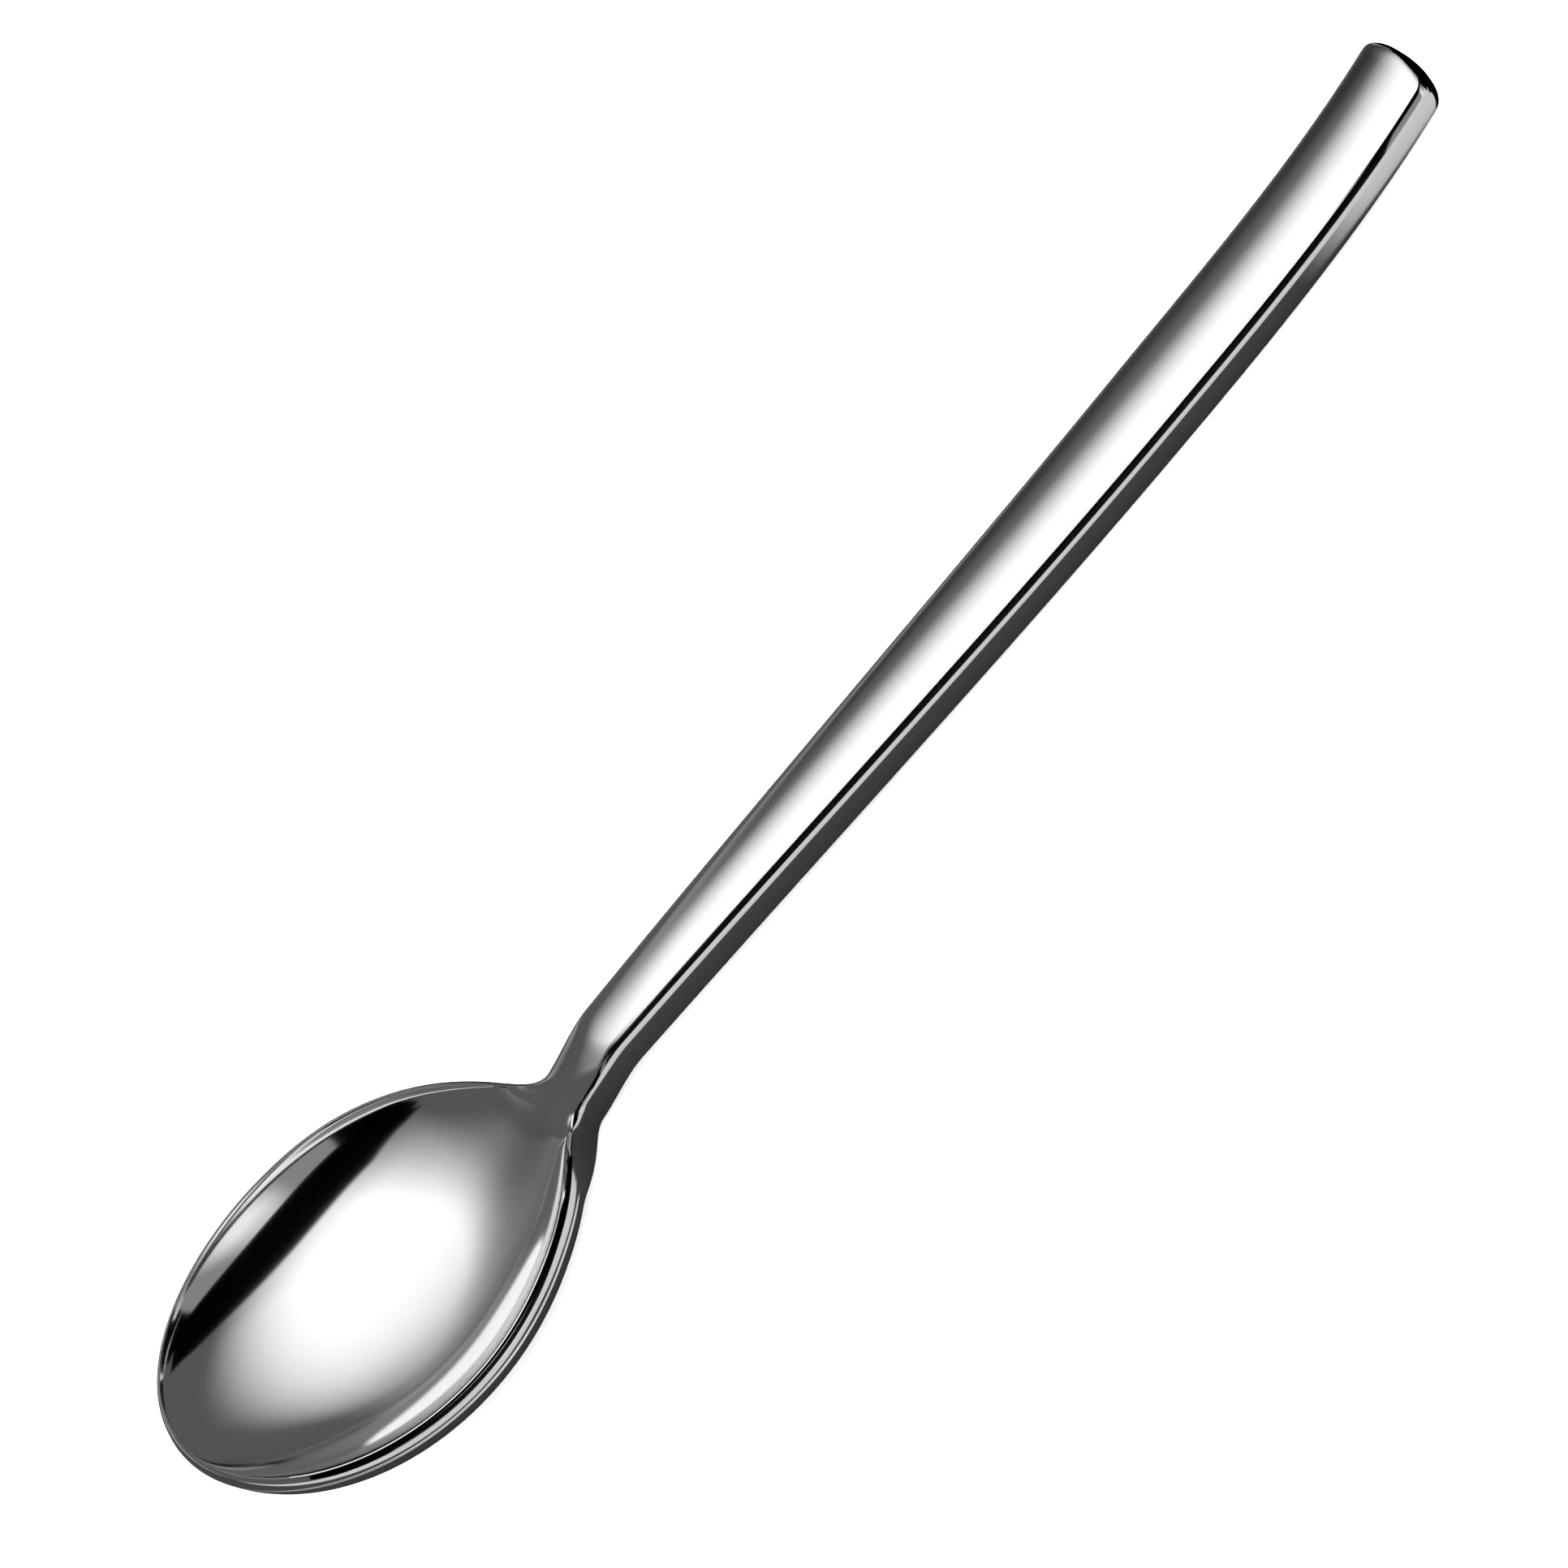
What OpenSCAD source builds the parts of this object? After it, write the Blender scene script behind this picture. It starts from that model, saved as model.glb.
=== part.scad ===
// Coffee spoon, forged in one piece and lying on its back.
// X runs from the bowl's tip to the handle's end, Y across, Z up; all sizes in mm.
// The origin is on the resting plane, halfway along the spoon.

/* [Overall] */
// Length from the bowl's tip to the handle's end
spoon_l = 139.5; // [130:0.5:150]
// Width of the rounded edge that runs round the whole upper face
edge_w = 0.7; // [0.5:0.05:0.95]
// Height of that rounded edge
edge_h = 1.15; // [0.9:0.05:1.4]

/* [Bowl] */
// Length of the bowl from its tip to the neck
bowl_l = 38; // [35:0.5:41]
// Width of the bowl across its rim
bowl_w = 27.9; // [25:0.1:30]
// Distance of the bowl's widest point from the tip
bowl_wide_x = 18.6; // [17:0.1:20]
// Depth of the hollow below the rim at the widest point
bowl_depth = 6.2; // [5.2:0.1:7.2]
// Metal under the deepest point of the hollow
bowl_wall = 2; // [1.5:0.05:2.5]
// Distance from the deepest point to the bowl's rear
low_back = 16; // [13:0.5:19]
// Fullness of the hollow's middle: 0.5 is a half ellipse, 1 a parabola
bowl_power = 0.65; // [0.5:0.01:0.8]
// Slope of the hollow's front wall at the tip
tip_fall = 1; // [0.7:0.05:1.3]
// Rise of the rim from the widest point to the tip
tip_rise = 3.75; // [2.5:0.05:5]
// Width of the bowl at the hip, where its sides start to close in
hip_w = 21.9; // [20:0.1:23.5]
// Width of the bowl at the shoulder, where it turns into the neck
shoulder_w = 10.9; // [9.5:0.1:12.5]
// Drop of the rim from the widest point to the shoulder
shoulder_drop = 2.92; // [2.4:0.02:3.4]
// Height of the straight outer side under the rim
rim_side = 0.35; // [0.2:0.05:0.8]

/* [Neck] */
// Width of the neck
neck_w = 4.76; // [4.2:0.02:5.4]
// Thickness of the neck
neck_t = 3.95; // [3.4:0.05:4.4]
// Gap between the neck and the surface that the spoon lies on
neck_gap = 0.15; // [0.1:0.05:0.6]
// Height of the neck's crown, its convex upper face
neck_crown = 0.35; // [0.2:0.05:0.5]
// Length of the neck, from the bowl up to the handle
neck_l = 7; // [6:0.1:8.5]
// Height of the handle's underside just behind the neck
stem_lift = 1.7; // [1:0.1:2.5]

/* [Handle] */
// Width of the handle near its end
handle_w = 7.5; // [6.4:0.1:8.6]
// Thickness of the handle where it rests
handle_t = 3.6; // [3:0.05:4.2]
// Distance from the end to the place where the handle rests
rest_back = 32.5; // [28:0.5:38]
// Distance from the end to the place where the handle reaches its full width
taper_back = 21.5; // [15:0.5:28]
// Thickness of the handle's end
end_t = 3.2; // [2.8:0.05:3.8]
// Height of the underside at the end, which curves up
end_lift = 3.1; // [2:0.1:4.5]
// Length over which the end is rounded in plan
end_round = 1.5; // [1.2:0.1:2.4]
// Width of the rounded edge at the very end
end_soft = 0.3; // [0.2:0.05:0.5]
// Height of the handle's crown, its convex upper face
crown = 0.65; // [0.3:0.05:0.8]

/* [Hidden] */

// bulge of the side walls at half height
side_bulge = 0.08;
// height of the rounding at the foot of the handle's side walls
foot_soft = 0.5;
// lengths that shape the bowl's rear and the neck, measured from the bowl's rear
hip_back = 8.25;
shoulder_back = 2.25;
turn_back = 4.5;
merge_back = 1.9;
dip_ahead = 0.3;
waist_ahead = 1.4;
flat_ahead = 11.4;
// place where the ribs of the tip fan start on the axis, as a share of the way to the widest point
fan_share = 0.54;
// length that the ribs of the end fan leave free on the axis
end_fan_gap = 0.6;

// tilt at which the rounded edge leaves the upper face
edge_start = 28;
// rounding of the rim's inner side, as a share of the hollow
rim_soft = 0.035;
// sharpness of that rounding
rim_power = 1.5;
// fullness of the hollow at the tip and at the neck
ends_power = 0.7;
// fullness of the rounded end in plan
end_power = 2.4;
// share of the outline's growth that also lengthens the rounded end
grow_share = 0.6;
// fullness of the underside's cross-section on the bowl and on the handle
back_power = 0.55;
flat_power = 0.35;
// slope of the rim at the tip and at the widest point, as shares of its mean slope between them
tip_bend = 1.48;
wide_bend = 0.61;
// least half width that a height across the spoon is worked out with
least_half = 0.001;
// light grey of polished steel
steel_grey = [0.78, 0.79, 0.80];

// stations along the spoon: tip fan, bowl to stem, handle, end fan
n_tip = 22;
n_bowl = 30;
n_handle = 25;
n_end = 8;
n = n_tip + n_bowl + n_handle + n_end;
// rows round a rib: upper face, edge, side wall, underside
n_upper = 10;
n_edge = 6;
n_side = 2;
n_under = 8;
rows = n_upper + n_edge + n_side + n_under;

// places along X, measured from the tip
x_wide = bowl_wide_x;
x_low = bowl_l - low_back;
x_hip = bowl_l - hip_back;
x_turn = bowl_l - turn_back;
x_shoulder = bowl_l - shoulder_back;
x_merge = bowl_l - merge_back;
x_neck = bowl_l + dip_ahead;
x_waist = bowl_l + waist_ahead;
x_stem = bowl_l + neck_l;
x_flat = bowl_l + flat_ahead;
x_rest = spoon_l - rest_back;
x_full = spoon_l - taper_back;
x_fan = x_wide * fan_share;
x_end = spoon_l - end_soft;
x_cap = x_end - end_round;

// growth of the plan from the edge line to the side wall, and its share at the very end
wall_grow = edge_w - side_bulge;
end_share = (end_soft - side_bulge) / wall_grow;

// heights of the edge line
z_wide = bowl_depth + bowl_wall;
z_tip = z_wide + tip_rise;
z_shoulder = z_wide - shoulder_drop;
z_neck = neck_t + neck_gap;
z_stem = neck_t + stem_lift;
z_last = end_t + end_lift;

// slopes of the long curves at their knots
rim_slope = -tip_rise / x_wide;
tip_slope = rim_slope * tip_bend;
wide_slope = rim_slope * wide_bend;
shoulder_slope = -0.42;
neck_slope = 0.05;
ramp_slope = 0.2;
stem_slope = -0.02;
end_slope = 0.28;
dip_slope = 2 * neck_gap / (x_neck - x_wide);
// slopes of the plan: closing in at the hip and the shoulder, widening along the handle
hip_close = -0.58;
shoulder_close = -1.3;
taper = 0.022;

// knots of the long curves: place, height, slope
edge_knots = [
    [0, z_tip, tip_slope],
    [x_wide, z_wide, wide_slope],
    [x_shoulder, z_shoulder, shoulder_slope],
    [x_neck, z_neck, neck_slope],
    [x_stem, z_stem, stem_slope],
    [x_rest, handle_t, 0],
    [spoon_l, z_last, end_slope],
];
floor_knots = [
    [edge_w, z_tip + tip_slope * edge_w, -tip_fall],
    [x_low, bowl_wall, 0],
    [x_neck, z_neck + neck_crown, ramp_slope],
    [x_stem, z_stem + crown_at(x_stem), stem_slope],
];
back_knots = [
    [x_wide, 0, 0],
    [x_neck, neck_gap, dip_slope],
    [x_stem, stem_lift, stem_slope],
    [x_rest, 0, 0],
    [spoon_l, end_lift, end_slope],
];
// the same for the plan behind the widest point, grown by g beyond the edge line
function plan_knots(g) = [
    [x_wide, bowl_w / 2 - edge_w + g, 0],
    [x_hip, hip_w / 2 - edge_w + g * norm([1, hip_close]), hip_close],
    [x_shoulder, shoulder_w / 2 - edge_w + g * norm([1, shoulder_close]), shoulder_close],
    [x_waist, neck_w / 2 - edge_w + g, taper],
    [x_full, handle_w / 2 - edge_w + g, 0],
    [spoon_l, handle_w / 2 - edge_w + g, 0],
];

function ease(a, b, x) =
    let (t = min(1, max(0, (x - a) / (b - a))))
    t * t * (3 - 2 * t);

// smooth curve from one knot to the next
function span(x, a, b) =
    let (h = b[0] - a[0])
    let (t = (x - a[0]) / h)
    let (t2 = t * t)
    let (t3 = t2 * t)
    (2 * t3 - 3 * t2 + 1) * a[1]
        + (t3 - 2 * t2 + t) * h * a[2]
        + (3 * t2 - 2 * t3) * b[1]
        + (t3 - t2) * h * b[2];
function curve(x, k, i = 0) =
    i == len(k) - 2 || x <= k[i + 1][0] ? span(x, k[i], k[i + 1]) : curve(x, k, i + 1);

// half width of the plan, grown by g beyond the edge line
function half(x, g) =
    let (front = max(0, (x_wide - x) / (x_wide - edge_w + g)))
    let (c = end_round + grow_share * g)
    let (rear = max(0, 1 + (x - x_end - g * end_share) / c))
    curve(max(x, x_wide), plan_knots(g))
        * sqrt(max(0, 1 - front * front))
        * sqrt(max(0, 1 - pow(rear, end_power)));

// upper face: a hollow in the bowl that turns into a crown on the handle
function edge_z(x) = curve(x, edge_knots);
// the handle's crown follows its width
function crown_at(x) = crown * half(x, 0) / (handle_w / 2 - edge_w);
function floor_z(x) = x < x_stem ? curve(x, floor_knots) : edge_z(x) + crown_at(x);
// fullness of the hollow at x, which falls off towards the tip and the neck
function fullness(x) =
    let (d = x < x_low ? (x_low - x) / x_low : min(1, (x - x_low) / low_back))
    bowl_power + (ends_power - bowl_power) * d * d;
// share of the depth at m, which is 0 on the edge line and 1 on the axis; the rim is rounded
function share(m, q) =
    let (r = pow(m, rim_power))
    let (s = pow(rim_soft, rim_power))
    pow(m, q) * r * (1 + s) / (r + s);
function upper_z(x, y) =
    let (m = 1 - min(1, pow(y / max(least_half, half(x, 0)), 2)))
    let (k = ease(x_shoulder, x_stem, x))
    edge_z(x) - (edge_z(x) - floor_z(x)) * (share(m, fullness(x)) * (1 - k) + m * k);

// underside: a rounded back in the bowl, a nearly flat one on the handle
function back_z(x) = curve(max(x, x_wide), back_knots);
function foot_z(x) =
    let (k = ease(x_turn, x_neck, x))
    (edge_z(x) - edge_h - rim_side) * (1 - k) + (back_z(x) + foot_soft) * k;
function under_z(x, y) =
    let (v = min(1, pow(y / max(least_half, half(x, wall_grow)), 2)))
    let (front = 1 - pow((x_wide - x) / (x_wide - side_bulge), 2))
    let (m = (x < x_wide ? max(0, front) : 1) * (1 - v))
    let (q = back_power + (flat_power - back_power) * ease(x_merge, x_flat, x))
    foot_z(x) - (foot_z(x) - back_z(x)) * pow(m, q);

// station i on the edge line: place along X
function station(i) =
    i <= n_tip ? x_wide - (x_wide - edge_w) * cos(90 * i / n_tip)
    : i <= n_tip + n_bowl ? x_wide + (x_stem - x_wide) * (i - n_tip) / n_bowl
    : i <= n_tip + n_bowl + n_handle ? x_stem + (x_cap - x_stem) * (i - n_tip - n_bowl) / n_handle
    : x_cap + end_round * sin(90 * (i - n + n_end) / n_end);
// foot of rib i on the axis; the ribs fan out at the tip and at the end
function spine(i) =
    i <= n_tip ? x_fan + (x_wide - x_fan) * i / n_tip
    : i <= n - n_end ? station(i)
    : x_cap + (end_round - end_fan_gap) * (i - n + n_end) / n_end;

edge_x = [for (i = [0:n]) station(i)];
edge_y = [for (i = [0:n]) i == 0 || i == n ? 0 : half(edge_x[i], 0)];
// outward direction of the plan at each station
out = [for (i = [0:n])
    i == 0 ? [-1, 0] : i == n ? [1, 0]
    : let (d = [edge_x[i + 1] - edge_x[i - 1], edge_y[i + 1] - edge_y[i - 1]])
    [-d[1], d[0]] / norm(d)];

// rib i: points from the axis over the edge and back to the axis
function rib(i) =
    let (sx = spine(i))
    let (ex = edge_x[i])
    let (ey = edge_y[i])
    let (gx = wall_grow * (i > n - n_end ? end_share : 1))
    let (ox = min(spoon_l - side_bulge, max(side_bulge, ex + gx * out[i][0])))
    let (oy = i == 0 || i == n ? 0 : half(ox, wall_grow))
    let (ez = edge_z(ex))
    let (fz = foot_z(ox))
    concat(
        [for (j = [0:n_upper])
            let (q = sin(90 * j / n_upper))
            let (x = sx + (ex - sx) * q)
            [x, ey * q, upper_z(x, ey * q)]],
        [for (j = [1:n_edge])
            let (a = edge_start + (90 - edge_start) * j / n_edge)
            let (u = (sin(a) - sin(edge_start)) / (1 - sin(edge_start)))
            let (v = 1 - cos(a) / cos(edge_start))
            [ex + (ox - ex) * u, ey + (oy - ey) * u, ez - edge_h * v]],
        [for (j = [1:n_side])
            let (b = j == n_side ? 0 : side_bulge)
            [ox + out[i][0] * b, oy + out[i][1] * b, ez - edge_h + (fz - ez + edge_h) * j / n_side]],
        [for (j = [1:n_under])
            let (q = cos(90 * j / n_under))
            let (x = sx + (ox - sx) * q)
            [x, oy * q, under_z(x, oy * q)]]
    );

// ribs run round the outline: the far side out, the near side back
function place(p, side) = [p[0] - spoon_l / 2, p[1] * side, p[2]];
function on_axis(l) = l <= n ? l : 2 * n - l;
function id(l, j) =
    let (i = on_axis(l % (2 * n)))
    j == 0 ? 2 * n * (rows - 1) + i
    : j == rows ? 2 * n * (rows - 1) + n + 1 + i
    : (l % (2 * n)) * (rows - 1) + j - 1;

module spoon() {
    ribs = [for (i = [0:n]) rib(i)];
    points = concat(
        [for (l = [0:2 * n - 1]) for (j = [1:rows - 1]) place(ribs[on_axis(l)][j], l <= n ? 1 : -1)],
        [for (i = [0:n]) place(ribs[i][0], 0)],
        [for (i = [0:n]) place(ribs[i][rows], 0)]
    );
    faces = [for (l = [0:2 * n - 1]) for (j = [0:rows - 1]) for (t = [0, 1])
        t == 0 ? [id(l, j), id(l, j + 1), id(l + 1, j + 1)]
        : [id(l, j), id(l + 1, j + 1), id(l + 1, j)]];
    color(steel_grey) polyhedron(points, faces, convexity = 4);
}

spoon();
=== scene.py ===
# Coffee spoon of polished steel, lying on its back on a white table.
import math

import bpy
from mathutils import Matrix, Vector


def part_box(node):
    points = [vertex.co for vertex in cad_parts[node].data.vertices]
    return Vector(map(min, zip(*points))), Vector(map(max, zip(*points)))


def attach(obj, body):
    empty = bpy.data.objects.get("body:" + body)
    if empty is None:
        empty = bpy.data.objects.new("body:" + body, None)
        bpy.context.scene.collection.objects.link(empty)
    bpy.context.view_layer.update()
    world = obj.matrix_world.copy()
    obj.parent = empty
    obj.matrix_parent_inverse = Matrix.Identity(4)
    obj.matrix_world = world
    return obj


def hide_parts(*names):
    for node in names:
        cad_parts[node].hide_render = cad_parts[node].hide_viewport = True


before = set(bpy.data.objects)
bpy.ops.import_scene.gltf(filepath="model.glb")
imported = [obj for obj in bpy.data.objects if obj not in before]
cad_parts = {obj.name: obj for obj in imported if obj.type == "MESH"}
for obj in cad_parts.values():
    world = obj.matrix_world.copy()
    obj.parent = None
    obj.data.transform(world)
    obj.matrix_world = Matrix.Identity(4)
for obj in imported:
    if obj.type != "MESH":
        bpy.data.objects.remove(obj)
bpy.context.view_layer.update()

MM = 0.001
box_low, box_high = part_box("spoon")
box_size = (box_high - box_low) / MM

# Sizes of the spoon in millimetres; they are the inputs of the tree that makes it
SIZES = {
    "spoon_l": box_size.x,
    "edge_w": 0.7,
    "edge_h": 1.15,
    "bowl_l": 38.0,
    "bowl_w": box_size.y,
    "bowl_wide_x": 18.6,
    "bowl_depth": 6.2,
    "bowl_wall": 2.0,
    "low_back": 16.0,
    "tip_rise": 3.75,
    "hip_w": 21.9,
    "shoulder_w": 10.9,
    "shoulder_drop": 2.92,
    "rim_side": 0.35,
    "neck_w": 4.76,
    "neck_t": 3.95,
    "neck_gap": 0.15,
    "neck_crown": 0.35,
    "neck_l": 7.0,
    "stem_lift": 1.7,
    "handle_w": 7.5,
    "handle_t": 3.6,
    "rest_back": 32.5,
    "taper_back": 21.5,
    "end_t": 3.2,
    "end_lift": 3.1,
    "end_round": 1.5,
    "end_soft": 0.3,
    "crown": 0.65,
    "side_bulge": 0.08,
    "foot_soft": 0.5,
}

# Lengths that shape the bowl's rear and the neck, measured from the bowl's rear
HIP_BACK = 8.25
SHOULDER_BACK = 2.25
TURN_BACK = 4.5
MERGE_BACK = 1.9
DIP_AHEAD = 0.3
WAIST_AHEAD = 1.4
FLAT_AHEAD = 11.4
# Where the ribs start on the axis, at the tip and at the end
FAN_SHARE = 0.54
END_FAN_GAP = 0.6
# Tilt at which the rounded edge leaves the upper face
EDGE_START = math.radians(28)
# Powers of the cross-sections and of the rounded end
BOWL_POWER = 0.65
ENDS_POWER = 0.7
RIM_SOFT = 0.035
RIM_POWER = 1.5
END_POWER = 2.4
GROW_SHARE = 0.6
BACK_POWER = 0.55
FLAT_POWER = 0.35
# Slopes of the long curves at their knots
TIP_FALL = 1.0
TIP_SLOPE = 1.48
WIDE_SLOPE = 0.61
SHOULDER_SLOPE = -0.42
NECK_SLOPE = 0.05
RAMP_SLOPE = 0.2
STEM_SLOPE = -0.02
END_SLOPE = 0.28
DIP_SLOPE = 2.0
# Slopes of the plan: closing in at the hip and the shoulder, widening along the handle
HIP_CLOSE = -0.58
SHOULDER_CLOSE = -1.3
TAPER = 0.022
# Smallest half width that anything is divided by
HAIR = 0.001

# Ribs along one side of the spoon, and where the tip fan, the bowl and the handle end among them
RIBS = 420
TIP_UNTIL = 0.2
BOWL_UNTIL = 0.47
HANDLE_UNTIL = 0.92
# Points across each surface of a rib
UPPER_ROWS = 44
EDGE_ROWS = 13
WALL_ROWS = 7
UNDER_ROWS = 30


# Node trees
class Field:
    """A number that varies over a mesh, a card or the room: one output socket in a node tree."""

    def __init__(self, tree, socket):
        self.tree = tree
        self.socket = socket

    def __add__(self, other):
        return math_node(self.tree, "ADD", self, other)

    def __radd__(self, other):
        return math_node(self.tree, "ADD", other, self)

    def __sub__(self, other):
        return math_node(self.tree, "SUBTRACT", self, other)

    def __rsub__(self, other):
        return math_node(self.tree, "SUBTRACT", other, self)

    def __mul__(self, other):
        return math_node(self.tree, "MULTIPLY", self, other)

    def __rmul__(self, other):
        return math_node(self.tree, "MULTIPLY", other, self)

    def __truediv__(self, other):
        return math_node(self.tree, "DIVIDE", self, other)

    def __pow__(self, power):
        return math_node(self.tree, "POWER", self, power)

    def __neg__(self):
        return math_node(self.tree, "MULTIPLY", self, -1.0)


def feed(tree, socket, value):
    """Gives a socket a plain value, or links it to a field or to another socket."""
    if isinstance(value, Field):
        value = value.socket
    if isinstance(value, bpy.types.NodeSocket):
        tree.links.new(value, socket)
    else:
        socket.default_value = value


def math_node(tree, operation, *values):
    """A field that a sum, a power or the like of other values gives."""
    node = tree.nodes.new("ShaderNodeMath")
    node.operation = operation
    for socket, value in zip(node.inputs, values):
        feed(tree, socket, value)
    return Field(tree, node.outputs[0])


def smaller(a, b):
    return math_node(a.tree, "MINIMUM", a, b)


def larger(a, b):
    return math_node(a.tree, "MAXIMUM", a, b)


def sine(quarter):
    """Sine of a share of a quarter turn."""
    return math_node(quarter.tree, "SINE", quarter * (math.pi / 2))


def cosine(quarter):
    """Cosine of a share of a quarter turn, which never falls below zero."""
    return larger(math_node(quarter.tree, "COSINE", quarter * (math.pi / 2)), 0.0)


def share(x, start, stop, kind="LINEAR"):
    """How far x has come from start to stop, from 0 to 1."""
    node = x.tree.nodes.new("ShaderNodeMapRange")
    node.interpolation_type = kind
    feed(x.tree, node.inputs["Value"], x)
    feed(x.tree, node.inputs["From Min"], start)
    feed(x.tree, node.inputs["From Max"], stop)
    return Field(x.tree, node.outputs["Result"])


def ease(x, start, stop):
    """The same share with soft ends."""
    return share(x, start, stop, "SMOOTHSTEP")


def mix(a, b, part):
    return a + (b - a) * part


def add_node(tree, kind, **values):
    """A node whose inputs, named with underscores for spaces, get the given values."""
    node = tree.nodes.new(kind)
    for name, value in values.items():
        feed(tree, node.inputs[name.replace("_", " ")], value)
    return node


def axes(tree, place):
    """The three coordinates of a place, as fields."""
    parts = add_node(tree, "ShaderNodeSeparateXYZ", Vector=place)
    return [Field(tree, parts.outputs[axis]) for axis in "XYZ"]


# Groups that give the spoon's curves
class Sizes:
    """The sizes of the spoon as fields of one tree, by name."""

    def __init__(self, tree, inputs):
        for name in SIZES:
            setattr(self, name, Field(tree, inputs.outputs[name]))


def new_group(name, numbers_in, numbers_out, with_sizes=True):
    """A tree with named number sockets. Gives the tree, its sizes, its inputs and its output node."""
    tree = bpy.data.node_groups.new(name, "GeometryNodeTree")
    for label in numbers_in:
        tree.interface.new_socket(label, in_out="INPUT", socket_type="NodeSocketFloat")
    if with_sizes:
        for label, value in SIZES.items():
            socket = tree.interface.new_socket(label, in_out="INPUT", socket_type="NodeSocketFloat")
            socket.default_value = value
    for label in numbers_out:
        tree.interface.new_socket(label, in_out="OUTPUT", socket_type="NodeSocketFloat")
    inputs = tree.nodes.new("NodeGroupInput")
    output = tree.nodes.new("NodeGroupOutput")
    sizes = Sizes(tree, inputs) if with_sizes else None
    return tree, sizes, [Field(tree, inputs.outputs[label]) for label in numbers_in], output


def place_group(group, sizes, *numbers):
    """Places a group in the tree of its first number and gives its outputs by name."""
    tree = numbers[0].tree
    node = tree.nodes.new("GeometryNodeGroup")
    node.node_tree = group
    for socket, value in zip(node.inputs, numbers):
        feed(tree, socket, value)
    if sizes:
        for name in SIZES:
            feed(tree, node.inputs[name], getattr(sizes, name))
    return {socket.name: Field(tree, socket) for socket in node.outputs}


def knot_span_group():
    """Rise of a smooth curve between two knots; it is zero before them and whole after them."""
    tree, _, (x, x0, z0, slope0, x1, z1, slope1), output = new_group(
        "Knot span", ("x", "x0", "z0", "slope0", "x1", "z1", "slope1"), ("rise",), with_sizes=False
    )
    run = x1 - x0
    t = share(x, x0, x1)
    leave = t * (1.0 - t) * (1.0 - t)
    arrive = t * t * (1.0 - t)
    climb = t * t * (3.0 - 2.0 * t)
    feed(tree, output.inputs["rise"], climb * (z1 - z0) + run * (leave * slope0 - arrive * slope1))
    return tree


KNOT_SPAN = knot_span_group()


def rises(x, knots):
    """The rise of each span between the knots, which are place, height and slope."""
    return [
        place_group(KNOT_SPAN, None, x, *first, *last)["rise"]
        for first, last in zip(knots, knots[1:])
    ]


def wall_grow(s):
    """Growth of the plan from the edge line to the side wall."""
    return s.edge_w - s.side_bulge


def end_share(s):
    """Share of that growth at the handle's very end."""
    return (s.end_soft - s.side_bulge) / wall_grow(s)


def half_width_group():
    """Half width of the plan at x, grown beyond the edge line."""
    tree, s, (x, grow), output = new_group("Half width", ("x", "grow"), ("half",))
    beyond = grow - s.edge_w
    knots = [
        (s.bowl_wide_x, s.bowl_w * 0.5 + beyond, 0.0),
        (s.bowl_l - HIP_BACK, s.hip_w * 0.5 - s.edge_w + grow * math.hypot(1, HIP_CLOSE), HIP_CLOSE),
        (
            s.bowl_l - SHOULDER_BACK,
            s.shoulder_w * 0.5 - s.edge_w + grow * math.hypot(1, SHOULDER_CLOSE),
            SHOULDER_CLOSE,
        ),
        (s.bowl_l + WAIST_AHEAD, s.neck_w * 0.5 + beyond, TAPER),
        (s.spoon_l - s.taper_back, s.handle_w * 0.5 + beyond, 0.0),
    ]
    plan = knots[0][1] + sum(rises(x, knots), start=0.0)
    front = share(x, s.bowl_wide_x, -beyond)
    x_tail = s.spoon_l - s.end_soft + grow * end_share(s)
    rounding = share(x, x_tail - s.end_round - grow * GROW_SHARE, x_tail)
    half = plan * (1.0 - front ** 2) ** 0.5 * (1.0 - rounding ** END_POWER) ** 0.5
    feed(tree, output.inputs["half"], half)
    return tree


HALF_WIDTH = half_width_group()


def half_width(s, x, grow):
    return place_group(HALF_WIDTH, s, x, grow)["half"]


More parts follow.
